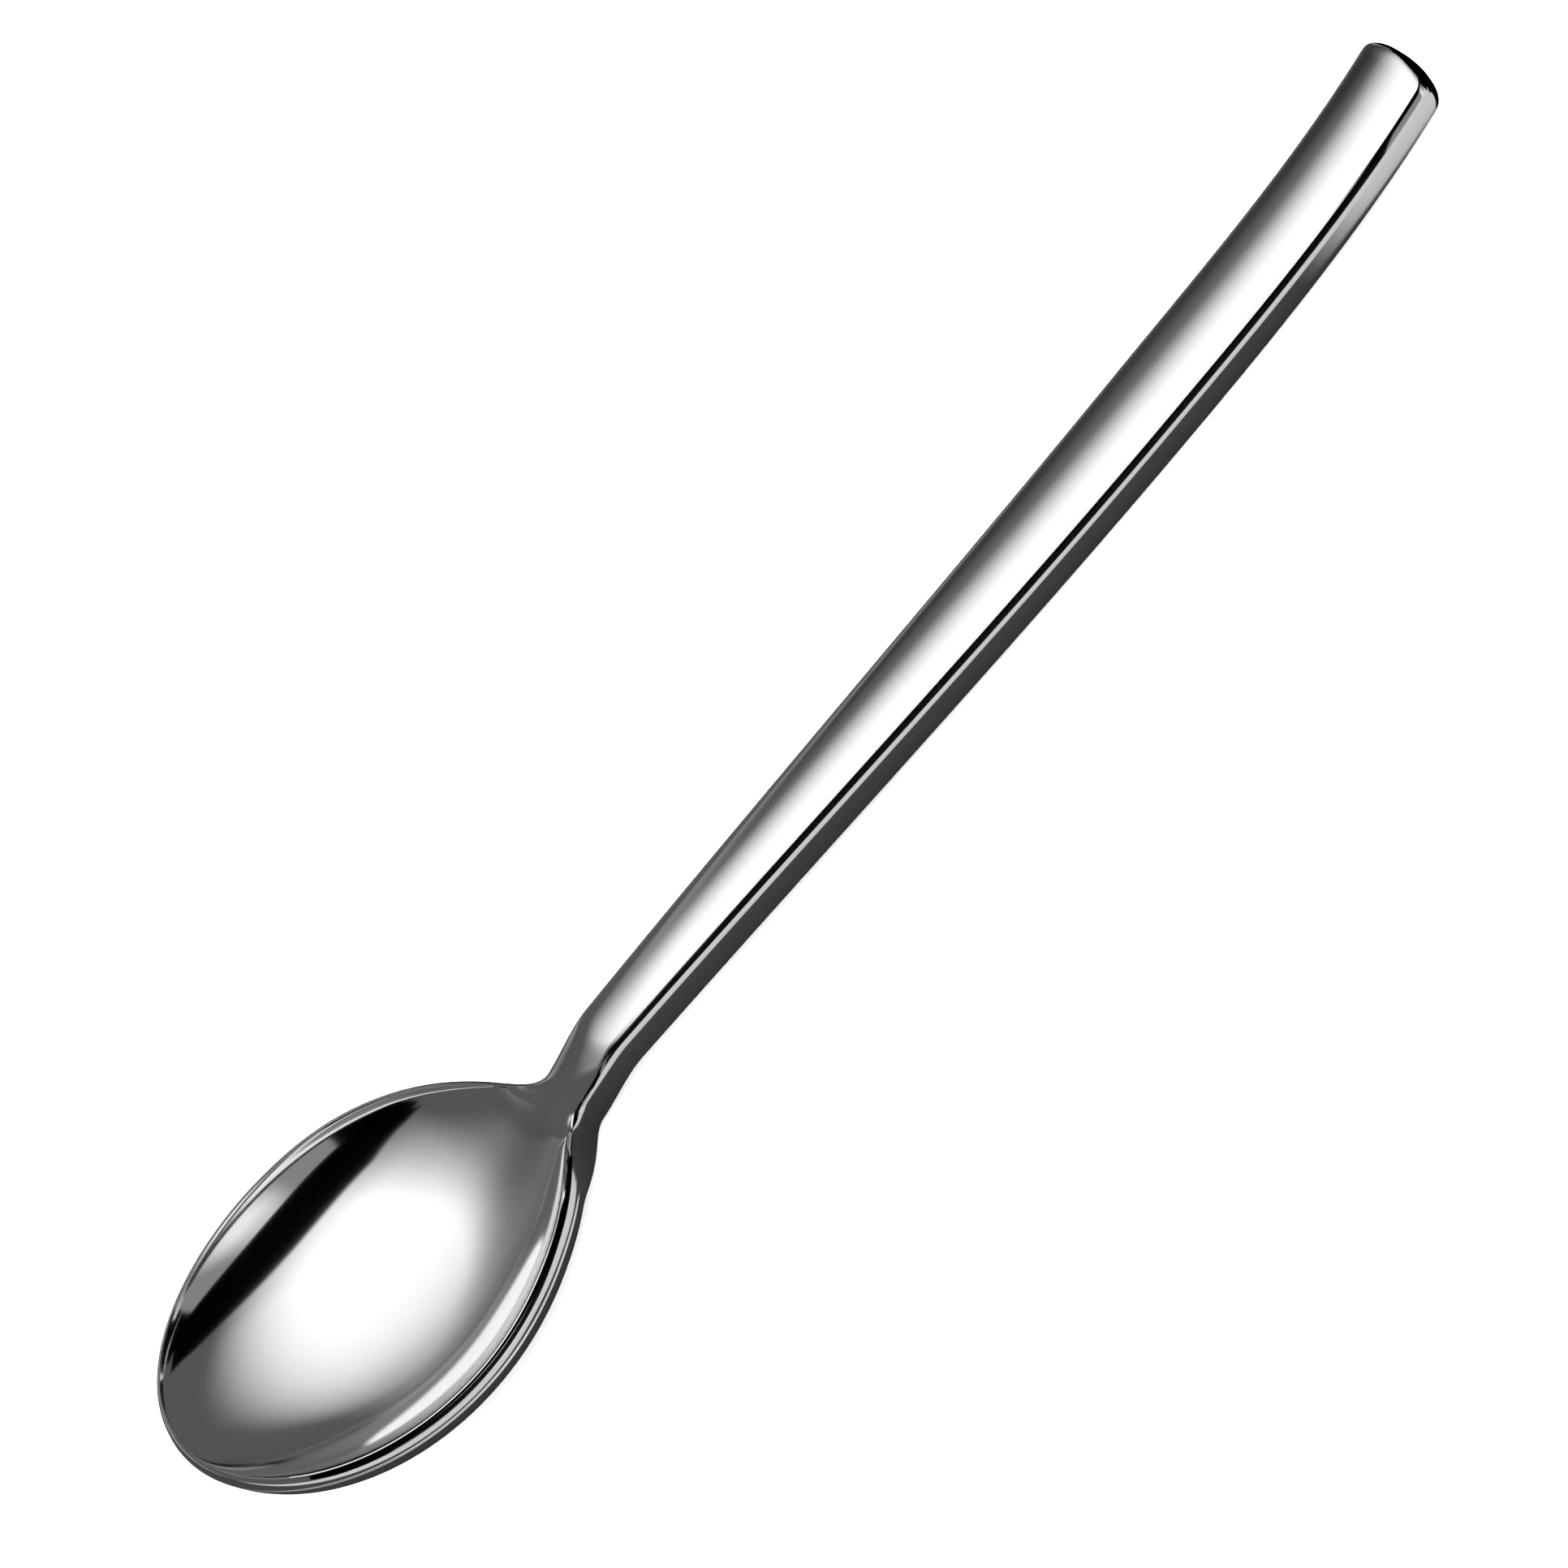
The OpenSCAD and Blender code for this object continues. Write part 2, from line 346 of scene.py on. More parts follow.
def heights_group():
    """Heights at x: the edge line, the upper face and the back on the axis, and the wall's foot."""
    tree, s, (x,), output = new_group("Heights", ("x",), ("edge", "floor", "back", "foot"))
    x_shoulder = s.bowl_l - SHOULDER_BACK
    x_neck = s.bowl_l + DIP_AHEAD
    x_stem = s.bowl_l + s.neck_l
    x_rest = s.spoon_l - s.rest_back
    z_wide = s.bowl_depth + s.bowl_wall
    z_neck = s.neck_t + s.neck_gap
    z_stem = s.neck_t + s.stem_lift
    rim_slope = -(s.tip_rise / s.bowl_wide_x)
    tip = (0.0, z_wide + s.tip_rise, rim_slope * TIP_SLOPE)
    wide = (s.bowl_wide_x, z_wide, rim_slope * WIDE_SLOPE)
    shoulder = (x_shoulder, z_wide - s.shoulder_drop, SHOULDER_SLOPE)
    neck = (x_neck, z_neck, NECK_SLOPE)
    stem = (x_stem, z_stem, STEM_SLOPE)
    rest = (x_rest, s.handle_t, 0.0)
    last = (s.spoon_l, s.end_t + s.end_lift, END_SLOPE)
    bowl_edge = rises(x, [tip, wide, shoulder, neck, stem])
    handle_edge = rises(x, [stem, rest, last])
    edge = tip[1] + sum(bowl_edge + handle_edge, start=0.0)
    tip_edge = tip[1] + s.edge_w * tip[2]
    crown_share = s.crown / (s.handle_w * 0.5 - s.edge_w)
    stem_crown = crown_share * half_width(s, x_stem, 0.0)
    crown = crown_share * half_width(s, larger(x, x_stem), 0.0)
    hollow = rises(x, [
        (s.edge_w, tip_edge, -TIP_FALL),
        (s.bowl_l - s.low_back, s.bowl_wall, 0.0),
        (x_neck, z_neck + s.neck_crown, RAMP_SLOPE),
        (x_stem, z_stem + stem_crown, STEM_SLOPE),
    ])
    floor = tip_edge + sum(hollow + handle_edge, start=0.0) + crown - stem_crown
    back = sum(rises(x, [
        (s.bowl_wide_x, 0.0, 0.0),
        (x_neck, s.neck_gap, s.neck_gap * DIP_SLOPE / (x_neck - s.bowl_wide_x)),
        (x_stem, s.stem_lift, STEM_SLOPE),
        (x_rest, 0.0, 0.0),
        (s.spoon_l, s.end_lift, END_SLOPE),
    ]), start=0.0)
    turn = ease(x, s.bowl_l - TURN_BACK, x_neck)
    foot = mix(edge - s.edge_h - s.rim_side, back + s.foot_soft, turn)
    for label, height in (("edge", edge), ("floor", floor), ("back", back), ("foot", foot)):
        feed(tree, output.inputs[label], height)
    return tree


HEIGHTS = heights_group()


def heights(s, x):
    return place_group(HEIGHTS, s, x)


def outline_group():
    """Places on the rib a share along the spoon: spine, edge line and wall, and the way out."""
    labels = ("spine_x", "edge_x", "edge_y", "wall_x", "wall_y", "out_x", "out_y")
    tree, s, (along,), output = new_group("Outline", ("along",), labels)
    in_tip = share(along, 0.0, TIP_UNTIL)
    in_bowl = share(along, TIP_UNTIL, BOWL_UNTIL)
    in_handle = share(along, BOWL_UNTIL, HANDLE_UNTIL)
    in_end = share(along, HANDLE_UNTIL, 1.0)
    x_stem = s.bowl_l + s.neck_l
    x_cap = s.spoon_l - s.end_soft - s.end_round
    middle = s.bowl_wide_x + (x_stem - s.bowl_wide_x) * in_bowl + (x_cap - x_stem) * in_handle
    edge_x = middle - (s.bowl_wide_x - s.edge_w) * cosine(in_tip) + s.end_round * sine(in_end)
    spine_x = (
        middle
        - s.bowl_wide_x * (1.0 - FAN_SHARE) * (1.0 - in_tip)
        + (s.end_round - END_FAN_GAP) * in_end
    )
    grow = wall_grow(s)
    out_x = sine(in_end) - cosine(in_tip)
    out_y = sine(in_tip) * cosine(in_end)
    wall_x = edge_x + grow * (sine(in_end) * end_share(s) - cosine(in_tip))
    found = {
        "spine_x": spine_x,
        "edge_x": edge_x,
        "edge_y": half_width(s, edge_x, 0.0),
        "wall_x": wall_x,
        "wall_y": half_width(s, wall_x, grow),
        "out_x": out_x,
        "out_y": out_y,
    }
    for label in labels:
        feed(tree, output.inputs[label], found[label])
    return tree


OUTLINE = outline_group()


# Surfaces of the far half of the spoon
def upper_face(s, along, across):
    """The hollow of the bowl, which turns into the handle's crown."""
    rib = place_group(OUTLINE, s, along)
    reach = sine(across)
    x = mix(rib["spine_x"], rib["edge_x"], reach)
    y = rib["edge_y"] * reach
    z = heights(s, x)
    inside = 1.0 - smaller((y / larger(half_width(s, x, 0.0), HAIR)) ** 2, 1.0)
    x_low = s.bowl_l - s.low_back
    away = share(x, x_low, 0.0) + share(x, x_low, s.bowl_l)
    power = BOWL_POWER + (ENDS_POWER - BOWL_POWER) * away ** 2
    soft = RIM_SOFT ** RIM_POWER
    rim = inside ** RIM_POWER
    hollow = inside ** power * rim * (1 + soft) / (rim + soft)
    depth = mix(hollow, inside, ease(x, s.bowl_l - SHOULDER_BACK, s.bowl_l + s.neck_l))
    return x, y, z["edge"] - (z["edge"] - z["floor"]) * depth


def soft_edge(s, along, across):
    """The rounded edge from the upper face down to the wall."""
    rib = place_group(OUTLINE, s, along)
    start = EDGE_START / (math.pi / 2)
    tilt = mix(start, 1.0, across)
    outwards = (sine(tilt) - math.sin(EDGE_START)) / (1 - math.sin(EDGE_START))
    downwards = 1.0 - cosine(tilt) / math.cos(EDGE_START)
    x = mix(rib["edge_x"], rib["wall_x"], outwards)
    y = mix(rib["edge_y"], rib["wall_y"], outwards)
    return x, y, heights(s, rib["edge_x"])["edge"] - s.edge_h * downwards


def side_wall(s, along, across):
    """The wall under the edge, slightly bulged."""
    rib = place_group(OUTLINE, s, along)
    bulge = s.side_bulge * 4.0 * across * (1.0 - across)
    top = heights(s, rib["edge_x"])["edge"] - s.edge_h
    foot = heights(s, rib["wall_x"])["foot"]
    x = rib["wall_x"] + rib["out_x"] * bulge
    y = rib["wall_y"] + rib["out_y"] * bulge
    return x, y, mix(top, foot, across)


def underside(s, along, across):
    """The rounded back of the bowl and the nearly flat back of the handle."""
    rib = place_group(OUTLINE, s, along)
    reach = cosine(across)
    x = mix(rib["spine_x"], rib["wall_x"], reach)
    y = rib["wall_y"] * reach
    z = heights(s, x)
    front = share(x, s.bowl_wide_x, s.side_bulge)
    sideways = smaller((y / larger(half_width(s, x, wall_grow(s)), HAIR)) ** 2, 1.0)
    flat = ease(x, s.bowl_l - MERGE_BACK, s.bowl_l + FLAT_AHEAD)
    power = BACK_POWER + (FLAT_POWER - BACK_POWER) * flat
    depth = ((1.0 - front ** 2) * (1.0 - sideways)) ** power
    return x, y, z["foot"] - (z["foot"] - z["back"]) * depth


SURFACES = (
    (upper_face, UPPER_ROWS),
    (soft_edge, EDGE_ROWS),
    (side_wall, WALL_ROWS),
    (underside, UNDER_ROWS),
)


def surface_mesh(tree, s, rule, rows):
    """A grid of ribs whose points follow one of the surface rules, in metres from the spoon's middle."""
    grid = add_node(
        tree, "GeometryNodeMeshGrid", Size_X=1.0, Size_Y=1.0, Vertices_X=RIBS, Vertices_Y=rows
    )
    place = tree.nodes.new("GeometryNodeInputPosition").outputs["Position"]
    along, across, _ = axes(tree, place)
    x, y, z = rule(s, along + 0.5, across + 0.5)
    point = add_node(
        tree, "ShaderNodeCombineXYZ", X=(x - s.spoon_l * 0.5) * MM, Y=y * MM, Z=z * MM
    )
    placed = add_node(
        tree, "GeometryNodeSetPosition", Geometry=grid.outputs["Mesh"], Position=point.outputs[0]
    )
    return placed.outputs["Geometry"]


def spoon_tree(steel):
    """The tree that makes the whole spoon: four surfaces, mirrored and joined."""
    tree, s, _, output = new_group("Spoon", (), ())
    tree.interface.new_socket("Geometry", in_out="OUTPUT", socket_type="NodeSocketGeometry")
    far_half = tree.nodes.new("GeometryNodeJoinGeometry")
    for rule, rows in SURFACES:
        tree.links.new(surface_mesh(tree, s, rule, rows), far_half.inputs["Geometry"])
    mirrored = add_node(
        tree, "GeometryNodeTransform", Geometry=far_half.outputs["Geometry"], Scale=(1.0, -1.0, 1.0)
    )
    near_half = add_node(tree, "GeometryNodeFlipFaces", Mesh=mirrored.outputs["Geometry"])
    whole = tree.nodes.new("GeometryNodeJoinGeometry")
    tree.links.new(far_half.outputs["Geometry"], whole.inputs["Geometry"])
    tree.links.new(near_half.outputs["Mesh"], whole.inputs["Geometry"])
    closed = add_node(
        tree, "GeometryNodeMergeByDistance", Geometry=whole.outputs["Geometry"], Distance=HAIR * MM
    )
    smooth = add_node(tree, "GeometryNodeSetShadeSmooth", Geometry=closed.outputs["Geometry"])
    realized = add_node(tree, "GeometryNodeRealizeInstances", Geometry=smooth.outputs["Geometry"])
    finished = add_node(
        tree, "GeometryNodeSetMaterial", Geometry=realized.outputs["Geometry"], Material=steel
    )
    tree.links.new(finished.outputs["Geometry"], output.inputs["Geometry"])
    return tree


def make_spoon(steel):
    """The spoon as a plain mesh, made by its tree."""
    tree = spoon_tree(steel)
    seed = bpy.data.objects.new("spoon_rule", bpy.data.meshes.new("spoon_rule"))
    bpy.context.scene.collection.objects.link(seed)
    rule = seed.modifiers.new("spoon", "NODES")
    rule.node_group = tree
    for item in tree.interface.items_tree:
        if item.in_out == "INPUT":
            rule[item.identifier] = SIZES[item.name]
    shape = seed.evaluated_get(bpy.context.evaluated_depsgraph_get())
    mesh = bpy.data.meshes.new_from_object(shape)
    mesh.name = "polished_spoon"
    bpy.data.objects.remove(seed)
    piece = bpy.data.objects.new("polished_spoon", mesh)
    bpy.context.scene.collection.objects.link(piece)
    return piece


# Polished steel: its grey and its roughness, and how far they drift
STEEL_GREY = 0.64
GREY_DRIFT = 0.015
ROUGHNESS = 0.085
ROUGH_DRIFT = 0.03
# Clouds of the polish and the fine marks that polishing leaves along the spoon, per metre
CLOUD_SCALE = 90.0
CLOUD_DETAIL = 3.0
MARK_SCALE = (160.0, 2600.0, 2600.0)
MARK_DETAIL = 2.0
MARK_DEPTH = 0.000002
MARK_STRENGTH = 0.05


def new_shader_group(name, sockets_out):
    """A shader node group; gives its tree and its output node."""
    tree = bpy.data.node_groups.new(name, "ShaderNodeTree")
    for label, kind in sockets_out:
        tree.interface.new_socket(label, in_out="OUTPUT", socket_type=kind)
    return tree, tree.nodes.new("NodeGroupOutput")


def noise(tree, place, scale, detail):
    """Noise around zero, from about -0.5 to 0.5."""
    node = add_node(tree, "ShaderNodeTexNoise", Vector=place, Scale=scale, Detail=detail)
    return Field(tree, node.outputs[0]) - 0.5


def polish_group():
    """Faint unevenness of polished steel: its grey, its roughness and the normal of fine marks."""
    sockets = (
        ("Grey", "NodeSocketFloat"), ("Roughness", "NodeSocketFloat"), ("Normal", "NodeSocketVector"),
    )
    tree, output = new_shader_group("Polish", sockets)
    place = tree.nodes.new("ShaderNodeTexCoord").outputs["Object"]
    cloud = noise(tree, place, CLOUD_SCALE, CLOUD_DETAIL)
    stretched = tree.nodes.new("ShaderNodeVectorMath")
    stretched.operation = "MULTIPLY"
    feed(tree, stretched.inputs[0], place)
    stretched.inputs[1].default_value = MARK_SCALE
    marks = noise(tree, stretched.outputs[0], 1.0, MARK_DETAIL)
    bump = add_node(tree, "ShaderNodeBump", Strength=MARK_STRENGTH, Distance=MARK_DEPTH, Height=marks)
    feed(tree, output.inputs["Grey"], STEEL_GREY + (cloud + marks) * GREY_DRIFT)
    feed(tree, output.inputs["Roughness"], ROUGHNESS + cloud * ROUGH_DRIFT)
    feed(tree, output.inputs["Normal"], bump.outputs["Normal"])
    return tree


def steel_finish():
    """Mirror-polished stainless steel."""
    material = bpy.data.materials.new("polished_steel")
    material.use_nodes = True
    tree = material.node_tree
    polish = tree.nodes.new("ShaderNodeGroup")
    polish.node_tree = polish_group()
    shader = tree.nodes["Principled BSDF"]
    shader.inputs["Metallic"].default_value = 1.0
    tree.links.new(polish.outputs["Grey"], shader.inputs["Base Color"])
    tree.links.new(polish.outputs["Roughness"], shader.inputs["Roughness"])
    tree.links.new(polish.outputs["Normal"], shader.inputs["Normal"])
    return material


# Studio
def plain_sheet(name, corners, material, faces=None):
    """A flat piece of the stage, which is one face unless faces are given."""
    mesh = bpy.data.meshes.new(name)
    mesh.from_pydata([Vector(c) for c in corners], [], faces or [range(len(corners))])
    mesh.materials.append(material)
    sheet = bpy.data.objects.new(name, mesh)
    bpy.context.scene.collection.objects.link(sheet)
    return sheet


def reflected_sheet(name, corners, material, faces=None):
    """A card that the steel mirrors, but that neither the camera sees nor the table is lit by."""
    sheet = plain_sheet(name, corners, material, faces)
    sheet.visible_camera = False
    sheet.visible_diffuse = False
    sheet.visible_shadow = False
    sheet.visible_transmission = False
    sheet.visible_volume_scatter = False


def rectangle(across, along):
    """The corners of a rectangle that reaches from the first to the second place both ways."""
    return (
        (across[0], along[0]), (across[1], along[0]),
        (across[1], along[1]), (across[0], along[1]),
    )


def new_card_tree(name):
    """An empty material: gives it, its tree and the place on the card in metres."""
    material = bpy.data.materials.new(name)
    material.use_nodes = True
    tree = material.node_tree
    tree.nodes.clear()
    return material, tree, axes(tree, tree.nodes.new("ShaderNodeTexCoord").outputs["Object"])


def end_card_tree(tree, shader):
    """Makes a shader the surface of a card."""
    output = tree.nodes.new("ShaderNodeOutputMaterial")
    tree.links.new(shader.outputs[0], output.inputs["Surface"])


def glowing_card(name, glow):
    """A material that glows by a rule of the place on the card."""
    material, tree, place = new_card_tree(name)
    end_card_tree(tree, add_node(tree, "ShaderNodeEmission", Strength=glow(*place)))
    return material


def end_scrim_tree(tree, clear, glow):
    """A scrim: the share of light that it lets through, and its own glow."""
    passing = add_node(tree, "ShaderNodeBsdfTransparent", Color=clear)
    grey = add_node(tree, "ShaderNodeEmission", Strength=glow)
    both = tree.nodes.new("ShaderNodeAddShader")
    tree.links.new(passing.outputs[0], both.inputs[0])
    tree.links.new(grey.outputs[0], both.inputs[1])
    end_card_tree(tree, both)


def ray(tree, fact):
    """What Light Path tells of a ray."""
    return Field(tree, tree.nodes.new("ShaderNodeLightPath").outputs[fact])


def once_card(name, grey):
    """A card that is mirrored once, but not by way of a second place on the steel."""
    material, tree, _ = new_card_tree(name)
    clear = ease(ray(tree, "Glossy Depth"), 1.0, 2.0)
    end_scrim_tree(tree, clear, (1.0 - clear) * grey)
    return material


def painted_bounce_level(tree, once, painted_twice, painted_thrice):
    """A painted reflection level that depends on how often a mirrored ray has met the steel."""
    count = ray(tree, "Glossy Depth")
    return mix(mix(once, painted_twice, ease(count, 1.0, 2.0)), painted_thrice, ease(count, 2.0, 3.0))


def between(x, low, high):
    """1 within a range and 0 outside it; each end fades from its first to its second place."""
    return ease(x, *low) * ease(x, *high)


# The room that the steel mirrors, and its lighter back
STUDIO_GREY = 0.135
BACK_GREY = 0.42

# Overhead softbox: height, extent and strength
SOFTBOX_HEIGHT = 0.30
SOFTBOX_X = (-0.45, 1.6)
SOFTBOX_Y = (-0.30, 1.4)
SOFTBOX_STRENGTH = 1.75
# Its left side: middle of the fade, and the fade's half width, which is least at one place
LEFT_EDGE = -0.154
LEFT_BLUR = 0.031
LEFT_SPREAD = 1.1
LEFT_WAIST = 0.173
LEFT_LAST = 0.9
# Its right side: where the fade ends and where it starts, and how both move towards the back
RIGHT_DARK = 0.425
RIGHT_FULL = 0.02
RIGHT_DARK_TURN = 0.97
RIGHT_FULL_TURN = 0.363
# Its back fades into the lighter back of the room
BACK_FADE = (0.84, 0.003)
ROOM_FADE = (0.39, 0.69)
ROOM_RIGHT = (0.55, 0.05)
# Its front side is sharp and slanted: place on the axis, slant, last place, bend at the left, blur
FRONT_EDGE = -0.110
FRONT_SLANT = 0.13
FRONT_LAST = -0.045
BEND_X = -0.16
BEND_SLANT = 0.5
FRONT_BLUR = 0.006
# Fall-off towards the front side, and the place on the right where the black in front ends
FRONT_DIM = 0.72
FRONT_FALL = (0.0, 0.09)
BLACK_RIGHT = (1.16, 1.06)
# Painted reflection of it in the bowl's near wall by way of the far wall, set by bounce count: levels,
# and a curved front side
TWICE_GREY = (0.25, 0.44)
TWICE_ENDS = ((-0.24, -0.10), (0.30, 0.05))
TWICE_WHITE = 2.1
TWICE_X = -0.08
TWICE_CURVE = (4.1, 20.0)
TWICE_BLUR = (-0.03, 0.05)
# The same painted reflection after three or more bounces, from left to right
THRICE_GREY = (2.0, 0.4)
THRICE_TURN = (-0.15, 0.25)


def softbox():
    """Overhead light whose left, right and back sides fade out; its front side borders on black. After
    more bounces on the steel it glows at painted reflection levels.
    """
    material, tree, (x, y, _) = new_card_tree("softbox_light")
    back = smaller(y, LEFT_LAST)
    blur = (back - LEFT_WAIST) ** 2 * LEFT_SPREAD + LEFT_BLUR
    left = ease(x, LEFT_EDGE - blur, LEFT_EDGE + blur)
    right = ease(x, y * RIGHT_DARK_TURN + RIGHT_DARK, y * RIGHT_FULL_TURN + RIGHT_FULL)
    sides = left * right
    room = mix(STUDIO_GREY, BACK_GREY, ease(y, *ROOM_FADE) * sides * ease(x, *ROOM_RIGHT))
    bend = larger(BEND_X - x, 0.0) * BEND_SLANT
    ahead = y - smaller(x * FRONT_SLANT + FRONT_EDGE, FRONT_LAST) + bend
    light = sides * ease(y, *BACK_FADE) * mix(FRONT_DIM, 1.0, ease(ahead, *FRONT_FALL))
    black = ease(ahead, FRONT_BLUR, -FRONT_BLUR) * ease(x, *BLACK_RIGHT)
    once = mix(room, SOFTBOX_STRENGTH, light) * (1.0 - black)
    # Painted reflections: what it glows after two and after three bounces on the steel
    curve_right = larger(x - TWICE_X, 0.0) ** 2 * TWICE_CURVE[0]
    curve_left = larger(TWICE_X - x, 0.0) ** 2 * TWICE_CURVE[1]
    base = mix(*TWICE_GREY, between(x, *TWICE_ENDS))
    painted_twice = mix(base, TWICE_WHITE, ease(y - curve_right - curve_left, *TWICE_BLUR))
    painted_thrice = mix(*THRICE_GREY, ease(x, *THRICE_TURN))
    glow = painted_bounce_level(tree, once, painted_twice, painted_thrice)
    end_card_tree(tree, add_node(tree, "ShaderNodeEmission", Strength=glow))
    corners = [(i, j, SOFTBOX_HEIGHT) for i, j in rectangle(SOFTBOX_X, SOFTBOX_Y)]
    reflected_sheet("softbox", corners, material)


# Grey card that stands far in front: extent, levels, and where its ends and its bright middle fade
CARD_Y = -1.0
CARD_X = (-0.6, 1.9)
CARD_Z = (0.0, 0.95)
CARD_GREY = 0.34
CARD_BRIGHT = 1.25
CARD_LEFT = (-0.53, -0.49)
CARD_RIGHT = (1.22, 1.12)
CARD_RIGHT_LEAN = 0.6
BRIGHT_LEFT = (-0.14, 0.20)
BRIGHT_RIGHT = (0.78, 0.30)
BRIGHT_TOP = (0.75, 0.30)
TOP_DIM = 0.6
# Its upper side: height on the axis, slope and curvature, and blur
CARD_TOP = 0.77
CARD_SLOPE = 0.2
CARD_CURVE = -0.16
CARD_BLUR = 0.015


def front_card():
    """Grey card with a brighter middle, whose upper side is curved."""
    def glow(x, y, z):
        middle = between(x, BRIGHT_LEFT, BRIGHT_RIGHT) * mix(TOP_DIM, 1.0, ease(z, *BRIGHT_TOP))
        top = x * CARD_SLOPE + x ** 2 * CARD_CURVE + CARD_TOP
        lean = x - z * CARD_RIGHT_LEAN
        shape = ease(z - top, CARD_BLUR, -CARD_BLUR) * ease(x, *CARD_LEFT) * ease(lean, *CARD_RIGHT)
        return mix(CARD_GREY, CARD_BRIGHT, middle) * shape

    corners = [(x, CARD_Y, z) for x, z in rectangle(CARD_X, CARD_Z)]
    reflected_sheet("front_card", corners, glowing_card("card_grey", glow))


# Scrim over the neck and the handle: extent, where it dims the light from the back, and the least light
SCRIM_Z = 0.0125
SCRIM_X = (-0.0402, 0.076)
SCRIM_Y = (-0.0095, 0.06)
SCRIM_FADE = (-0.003, 0.0115)
SCRIM_DIM = 0.18
# Over the neck it is nearly opaque
NECK_START = (-0.0402, -0.0377)
NECK_END = (-0.016, -0.037)
NECK_LEAN = 1.0
NECK_DIM = 0.10
NECK_GLOW = 0.5
NECK_RISE = (-0.038, -0.027)
# Along its front side it carries a glowing white strip, a painted highlight that the handle's near edge
# mirrors
STRIP_Y = (-0.0037, -0.0052)
STRIP_ENDS = ((-0.030, -0.021), (0.060, 0.054))
PAINTED_HIGHLIGHT_WHITE = 1.5


def handle_scrim():
    """Low scrim that dims what the neck and the handle's far half mirror, with a glowing strip as a
    painted highlight on the near edge.
    """
    material, tree, (x, y, _) = new_card_tree("scrim_grey")
    over = ease(x, *NECK_START)
    lean = x - y * NECK_LEAN
    neck = mix(1.0, NECK_DIM, over * ease(lean, *NECK_END))
    # Glowing white strip: a painted highlight along the handle's near edge
    strip = ease(y, *STRIP_Y) * between(x, *STRIP_ENDS)
    clear = neck * mix(1.0, SCRIM_DIM, ease(y, *SCRIM_FADE) * over) * (1.0 - strip)
    level = mix(STUDIO_GREY, NECK_GLOW, ease(lean, *NECK_RISE))
    end_scrim_tree(tree, clear, mix((1.0 - neck) * level, PAINTED_HIGHLIGHT_WHITE, strip))
    corners = [(i, j, SCRIM_Z) for i, j in rectangle(SCRIM_X, SCRIM_Y)]
    reflected_sheet("handle_scrim", corners, material)


# Small grey card close above the neck: height, extent, and the slanted fade of its right side
NECK_COVER_Z = 0.0072
NECK_COVER_X = (-0.0340, -0.0270)
NECK_COVER_Y = (-0.0075, 0.005)
NECK_COVER_FADE = (-0.0312, -0.0300)
NECK_COVER_LEAN = 0.4


def neck_cover():
    """Grey card that keeps the bright middle of the softbox off the neck."""
    material, tree, (x, y, _) = new_card_tree("cover_grey")
    clear = ease(x + y * NECK_COVER_LEAN, *NECK_COVER_FADE)
    end_scrim_tree(tree, clear, (1.0 - clear) * STUDIO_GREY)
    corners = [(i, j, NECK_COVER_Z) for i, j in rectangle(NECK_COVER_X, NECK_COVER_Y)]
    reflected_sheet("neck_cover", corners, material)


# Black strip that stands in front of the handle: place and extent, and the lower side that follows
# the handle's upper edge: least height, where that is, rise to the left and to the right of it, blur
HANDLE_FLAG_Y = -0.012
HANDLE_FLAG_X = (-0.031, 0.062)
HANDLE_FLAG_LOW = 0.0034
HANDLE_FLAG_LOW_X = 0.037
HANDLE_FLAG_RISE = (0.55, 2.4)
HANDLE_FLAG_BLUR = 0.0003


def handle_flag():
    """Black strip that the handle's near edge mirrors."""
    material, tree, (x, _, z) = new_card_tree("flag_black")
    rise_left = larger(HANDLE_FLAG_LOW_X - x, 0.0) ** 2 * HANDLE_FLAG_RISE[0]
    rise_right = larger(x - HANDLE_FLAG_LOW_X, 0.0) ** 2 * HANDLE_FLAG_RISE[1]
    over = z - rise_left - rise_right - HANDLE_FLAG_LOW
    clear = ease(over, HANDLE_FLAG_BLUR, -HANDLE_FLAG_BLUR)
    end_card_tree(tree, add_node(tree, "ShaderNodeBsdfTransparent", Color=clear))
    corners = [(i, HANDLE_FLAG_Y, j) for i, j in rectangle(HANDLE_FLAG_X, (0.0, SCRIM_Z))]
    reflected_sheet("handle_flag", corners, material)


# Black card beyond the handle's end
END_CARD_X = 0.076
END_CARD_Y = (-0.009, 0.009)
END_CARD_Z = (0.0, 0.0125)


def end_card():
    """Black card that the handle's rounded end mirrors."""
    corners = [(END_CARD_X, y, z) for y, z in rectangle(END_CARD_Y, END_CARD_Z)]
    reflected_sheet("end_card", corners, glowing_card("card_black", lambda x, y, z: 0.0))


# Ribbons that follow the bowl's outline: number of steps and last place along it, and the slice
# and the band of points in which each place is found
RIM_STEPS = 48
RIM_LAST = -0.029
RIM_SLICE = 0.0005
RIM_BAND = 0.0012
# Each ribbon's ends, distances from the outline and heights above the edge of its two sides
RIM_GREY = 0.2
RIM_COVER_FIRST = -0.036
RIM_COVER_LAST = -0.066
RIM_COVER_AWAY = (-0.0012, 0.0012)
RIM_COVER_UP = (0.0012, 0.0012)
RIM_FLAG_FIRST = -0.066
RIM_FLAG_AWAY = (0.0025, 0.0025)
RIM_FLAG_UP = (-0.0002, 0.002)


def near_outline(spoon):
    """Places on the near side's outline, with the height of the edge, from the tip to the neck."""
    corners = [v.co for v in spoon.data.vertices]
    first = min(p.x for p in corners) + RIM_SLICE
    places = []
    for i in range(RIM_STEPS + 1):
        x = first + (RIM_LAST - first) * (1.0 - math.cos(math.pi / 2.0 * i / RIM_STEPS))
        ring = [p for p in corners if abs(p.x - x) < RIM_SLICE]
        side = min(p.y for p in ring)
        places.append(Vector((x, side, max(p.z for p in ring if p.y < side + RIM_BAND))))
    return places


